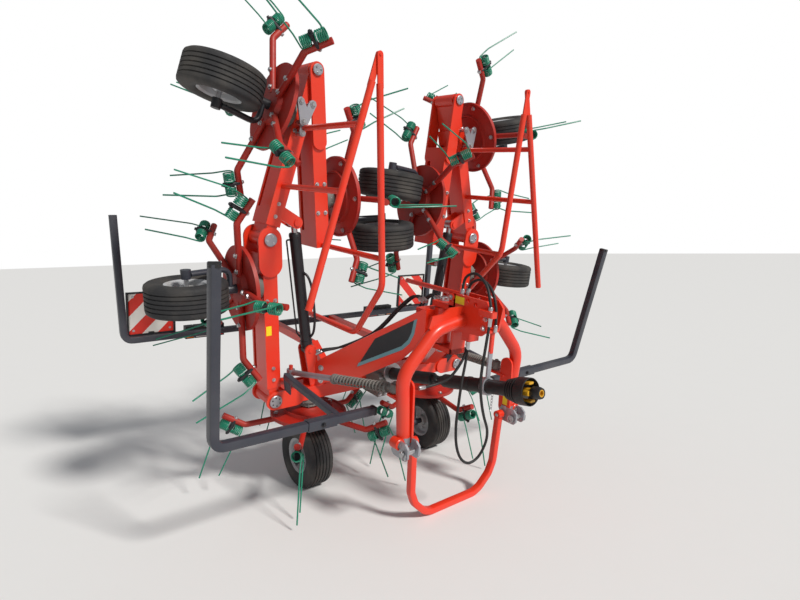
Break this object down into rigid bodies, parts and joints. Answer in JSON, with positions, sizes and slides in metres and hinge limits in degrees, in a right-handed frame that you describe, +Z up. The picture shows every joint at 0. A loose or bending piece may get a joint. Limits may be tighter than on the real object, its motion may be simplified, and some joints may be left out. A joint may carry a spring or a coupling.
{
  "type": "hay tedder",
  "caption": "Mounted hay tedder with rotors on folding wing beams, folded upright for transport and parked on its stand loop.",
  "frame": {"origin": "on the ground in the mid plane, under the middle of the length as parked", "axes": "+Z up, +X to the far wing, -Y towards the headstock and tractor"},
  "size_m": [2.8386, 2.4042, 2.9539],
  "materials": {
    "orange_paint": "semi-gloss",
    "dark_red_paint": "semi-gloss",
    "grey_casting": "satin",
    "blue_grey_paint": "semi-gloss",
    "black_paint": "satin",
    "bright_steel": "polished",
    "tyre_rubber": "matte",
    "black_plastic": "matte",
    "board": "reflective stripes",
    "lamp_plastic": "gloss"
  },
  "bodies": {
    "frame": {"centre_frame": "orange_paint", "boom": "orange_paint", "drive_gearbox": "grey_casting", "legs_centre": "grey_casting", "front_guards": "blue_grey_paint", "rear_rack": "blue_grey_paint", "warning_boards": "board", "lamps": "lamp_plastic"},
    "headstock": {"headstock": "orange_paint", "hose": "black_plastic"},
    "stand": {"stand": "orange_paint"},
    "input_shaft": {"input_shaft": "black_plastic"},
    "pto_shaft": {"pto_shaft": "black_plastic"},
    "damper_barrel_near": {"damper_barrel_near": "black_paint"},
    "damper_rod_near": {"damper_rod_near": "bright_steel"},
    "cylinder_barrel_near": {"cylinder_barrel_near": "black_paint"},
    "cylinder_rod_near": {"cylinder_rod_near": "bright_steel"},
    "inner_near": {"beam_b": "orange_paint", "leg_b": "grey_casting"},
    "middle_near": {"beam_c": "orange_paint", "guard_c": "orange_paint", "leg_c": "grey_casting"},
    "outer_near": {"beam_d": "orange_paint", "guard_d_tube": "orange_paint", "leg_d_wheel": "grey_casting"},
    "damper_barrel_far": {"damper_barrel_far": "black_paint"},
    "damper_rod_far": {"damper_rod_far": "bright_steel"},
    "cylinder_barrel_far": {"cylinder_barrel_far": "black_paint"},
    "cylinder_rod_far": {"cylinder_rod_far": "bright_steel"},
    "inner_far": {"beam_f": "orange_paint", "leg_f": "grey_casting"},
    "middle_far": {"beam_g": "orange_paint", "guard_g": "orange_paint", "leg_g": "grey_casting"},
    "outer_far": {"beam_h": "orange_paint", "guard_h": "orange_paint", "leg_h": "grey_casting"},
    "rotor_a": {"rotor_a": "dark_red_paint"},
    "wheel_a": {"wheel_a": "tyre_rubber"},
    "rotor_b": {"rotor_b": "dark_red_paint"},
    "wheel_b": {"wheel_b": "tyre_rubber"},
    "rotor_c": {"rotor_c": "dark_red_paint"},
    "wheel_c": {"wheel_c": "tyre_rubber"},
    "rotor_d": {"rotor_d": "dark_red_paint"},
    "wheel_d": {"wheel_d": "tyre_rubber"},
    "rotor_e": {"rotor_e": "dark_red_paint"},
    "wheel_e": {"wheel_e": "tyre_rubber"},
    "rotor_f": {"rotor_f": "dark_red_paint"},
    "wheel_f": {"wheel_f": "tyre_rubber"},
    "rotor_g": {"rotor_g": "dark_red_paint"},
    "wheel_g": {"wheel_g": "tyre_rubber"},
    "rotor_h": {"rotor_h": "dark_red_paint"},
    "wheel_h": {"wheel_h": "tyre_rubber"}
  },
  "joints": [
    {"name": "wing_near_fold", "type": "hinge", "parent": "frame", "child": "inner_near", "pos_m": [-0.7345, 0.19559, 0.61221], "axis": [0, -0.9906, -0.1366], "range_deg": [0, 87]},
    {"name": "middle_near_fold", "type": "hinge", "parent": "inner_near", "child": "middle_near", "pos_m": [-0.78385, 0.06698, 1.54509], "axis": [0, -0.9906, -0.1366], "range_deg": [0, 18.5]},
    {"name": "outer_near_fold", "type": "hinge", "parent": "middle_near", "child": "outer_near", "pos_m": [-0.53185, -0.05714, 2.44528], "axis": [0, -0.9906, -0.1366], "range_deg": [0, 159.5]},
    {"name": "cylinder_near_tilt", "type": "hinge", "parent": "frame", "child": "cylinder_barrel_near", "pos_m": [-0.5, 0.15417, 0.87602], "axis": [0, -0.9906, -0.1366], "range_deg": [0, 87.18]},
    {"name": "cylinder_near_stroke", "type": "slide", "parent": "cylinder_barrel_near", "child": "cylinder_rod_near", "axis": [-0.1445, -0.1351, 0.9802], "range_m": [0, 0.54328]},
    {"name": "wing_far_fold", "type": "hinge", "parent": "frame", "child": "inner_far", "pos_m": [0.7345, 0.19559, 0.61221], "axis": [0, 0.9906, 0.1366], "range_deg": [0, 87]},
    {"name": "middle_far_fold", "type": "hinge", "parent": "inner_far", "child": "middle_far", "pos_m": [0.78385, 0.06698, 1.54509], "axis": [0, 0.9906, 0.1366], "range_deg": [0, 18.5]},
    {"name": "outer_far_fold", "type": "hinge", "parent": "middle_far", "child": "outer_far", "pos_m": [0.53185, -0.05714, 2.44528], "axis": [0, 0.9906, 0.1366], "range_deg": [0, 159.5]},
    {"name": "cylinder_far_tilt", "type": "hinge", "parent": "frame", "child": "cylinder_barrel_far", "pos_m": [0.5, 0.15417, 0.87602], "axis": [0, 0.9906, 0.1366], "range_deg": [0, 87.18]},
    {"name": "cylinder_far_stroke", "type": "slide", "parent": "cylinder_barrel_far", "child": "cylinder_rod_far", "axis": [0.1445, -0.1351, 0.9802], "range_m": [0, 0.54328]},
    {"name": "headstock_swivel", "type": "hinge", "parent": "frame", "child": "headstock", "pos_m": [0, -0.36391, -0.08878], "axis": [0, -0.1366, 0.9906], "range_deg": [-8, 8]},
    {"name": "damper_near_turn", "type": "hinge", "parent": "frame", "child": "damper_barrel_near", "pos_m": [-0.597, 0.18788, 0.74137], "axis": [0, -0.1366, 0.9906], "range_deg": [-0.1677, 0.1677]},
    {"name": "damper_near_stroke", "type": "slide", "parent": "damper_barrel_near", "child": "damper_rod_near", "axis": [0.2597, -0.9655, 0.0178], "range_m": [-0.05551, 0.05551]},
    {"name": "damper_far_turn", "type": "hinge", "parent": "frame", "child": "damper_barrel_far", "pos_m": [0.597, 0.18788, 0.74137], "axis": [0, -0.1366, 0.9906], "range_deg": [-0.1677, 0.1677]},
    {"name": "damper_far_stroke", "type": "slide", "parent": "damper_barrel_far", "child": "damper_rod_far", "axis": [-0.2597, -0.9655, 0.0178], "range_m": [-0.05551, 0.05551]},
    {"name": "stand_fold", "type": "hinge", "parent": "headstock", "child": "stand", "pos_m": [0, -0.64398, 0.47828], "axis": [-1, 0, 0], "range_deg": [0, 90]},
    {"name": "rotor_a_turn", "type": "hinge", "parent": "frame", "child": "rotor_a", "pos_m": [-0.4715, 0.19559, 0.61221], "axis": [0, -0.1366, 0.9906], "continuous": true},
    {"name": "rotor_b_turn", "type": "hinge", "parent": "inner_near", "child": "rotor_b", "pos_m": [-0.77009, 0.10285, 1.28491], "axis": [0.9986, -0.0071, 0.0518], "continuous": true},
    {"name": "rotor_c_turn", "type": "hinge", "parent": "middle_near", "child": "rotor_c", "pos_m": [-0.60213, -0.02252, 2.19422], "axis": [0.9636, 0.0365, -0.2647], "continuous": true},
    {"name": "rotor_d_turn", "type": "hinge", "parent": "outer_near", "child": "rotor_d", "pos_m": [-0.47258, 0.03538, 1.77422], "axis": [-0.9962, 0.0119, -0.0863], "continuous": true},
    {"name": "rotor_e_turn", "type": "hinge", "parent": "frame", "child": "rotor_e", "pos_m": [0.4715, 0.19559, 0.61221], "axis": [0, -0.1366, 0.9906], "continuous": true},
    {"name": "rotor_f_turn", "type": "hinge", "parent": "inner_far", "child": "rotor_f", "pos_m": [0.77009, 0.10285, 1.28491], "axis": [-0.9986, -0.0071, 0.0518], "continuous": true},
    {"name": "rotor_g_turn", "type": "hinge", "parent": "middle_far", "child": "rotor_g", "pos_m": [0.60213, -0.02252, 2.19422], "axis": [-0.9636, 0.0365, -0.2647], "continuous": true},
    {"name": "rotor_h_turn", "type": "hinge", "parent": "outer_far", "child": "rotor_h", "pos_m": [0.47258, 0.03538, 1.77422], "axis": [0.9962, 0.0119, -0.0863], "continuous": true},
    {"name": "wheel_a_roll", "type": "hinge", "parent": "frame", "child": "wheel_a", "pos_m": [-0.4965, 0.21163, 0.203], "axis": [-1, 0, 0], "continuous": true},
    {"name": "wheel_b_roll", "type": "hinge", "parent": "inner_near", "child": "wheel_b", "pos_m": [-1.21448, 0.0664, 1.25638], "axis": [-0.0523, -0.1364, 0.9893], "continuous": true},
    {"name": "wheel_c_roll", "type": "hinge", "parent": "middle_near", "child": "wheel_c", "pos_m": [-1.03095, -0.07839, 2.30656], "axis": [0.2672, -0.1316, 0.9546], "continuous": true},
    {"name": "wheel_d_roll", "type": "hinge", "parent": "outer_near", "child": "wheel_d", "pos_m": [-0.01272, 0.01631, 1.61967], "axis": [0.0872, 0.1361, -0.9869], "continuous": true},
    {"name": "wheel_e_roll", "type": "hinge", "parent": "frame", "child": "wheel_e", "pos_m": [0.4965, 0.21163, 0.203], "axis": [1, 0, 0], "continuous": true},
    {"name": "wheel_f_roll", "type": "hinge", "parent": "inner_far", "child": "wheel_f", "pos_m": [1.21448, 0.0664, 1.25638], "axis": [0.0523, -0.1364, 0.9893], "continuous": true},
    {"name": "wheel_g_roll", "type": "hinge", "parent": "middle_far", "child": "wheel_g", "pos_m": [1.03095, -0.07839, 2.30656], "axis": [-0.2672, -0.1316, 0.9546], "continuous": true},
    {"name": "wheel_h_roll", "type": "hinge", "parent": "outer_far", "child": "wheel_h", "pos_m": [0.02927, -0.00954, 1.80717], "axis": [-0.0872, 0.1361, -0.9869], "continuous": true},
    {"name": "input_shaft_turn", "type": "hinge", "parent": "frame", "child": "input_shaft", "pos_m": [0, 0.05698, 0.66578], "axis": [0, -0.9956, 0.0932], "continuous": true},
    {"name": "pto_shaft_turn", "type": "hinge", "parent": "headstock", "child": "pto_shaft", "pos_m": [0, 0.05698, 0.66578], "axis": [0, -0.9956, 0.0932], "continuous": true}
  ],
  "couplings": [
    {"joint": "middle_near_fold", "follows": "wing_near_fold", "ratio": 0.21264},
    {"joint": "outer_near_fold", "follows": "wing_near_fold", "ratio": 1.8333},
    {"joint": "cylinder_near_tilt", "follows": "wing_near_fold", "ratio": 1.0021},
    {"joint": "cylinder_near_stroke", "follows": "wing_near_fold", "m_per_rad": 0.35778},
    {"joint": "wing_far_fold", "follows": "wing_near_fold", "ratio": 1},
    {"joint": "middle_far_fold", "follows": "wing_near_fold", "ratio": 0.21264},
    {"joint": "outer_far_fold", "follows": "wing_near_fold", "ratio": 1.8333},
    {"joint": "cylinder_far_tilt", "follows": "wing_near_fold", "ratio": 1.0021},
    {"joint": "cylinder_far_stroke", "follows": "wing_near_fold", "m_per_rad": 0.35778},
    {"joint": "damper_near_turn", "follows": "headstock_swivel", "ratio": -0.019587},
    {"joint": "damper_near_stroke", "follows": "headstock_swivel", "m_per_rad": 0.39675},
    {"joint": "damper_far_turn", "follows": "headstock_swivel", "ratio": -0.019587},
    {"joint": "damper_far_stroke", "follows": "headstock_swivel", "m_per_rad": -0.39675},
    {"joint": "rotor_b_turn", "follows": "rotor_a_turn", "ratio": -1},
    {"joint": "rotor_c_turn", "follows": "rotor_a_turn", "ratio": 1},
    {"joint": "rotor_d_turn", "follows": "rotor_a_turn", "ratio": -1},
    {"joint": "rotor_e_turn", "follows": "rotor_a_turn", "ratio": -1},
    {"joint": "rotor_f_turn", "follows": "rotor_a_turn", "ratio": 1},
    {"joint": "rotor_g_turn", "follows": "rotor_a_turn", "ratio": -1},
    {"joint": "rotor_h_turn", "follows": "rotor_a_turn", "ratio": 1},
    {"joint": "input_shaft_turn", "follows": "rotor_a_turn", "ratio": -3.5},
    {"joint": "pto_shaft_turn", "follows": "rotor_a_turn", "ratio": -3.5}
  ]
}
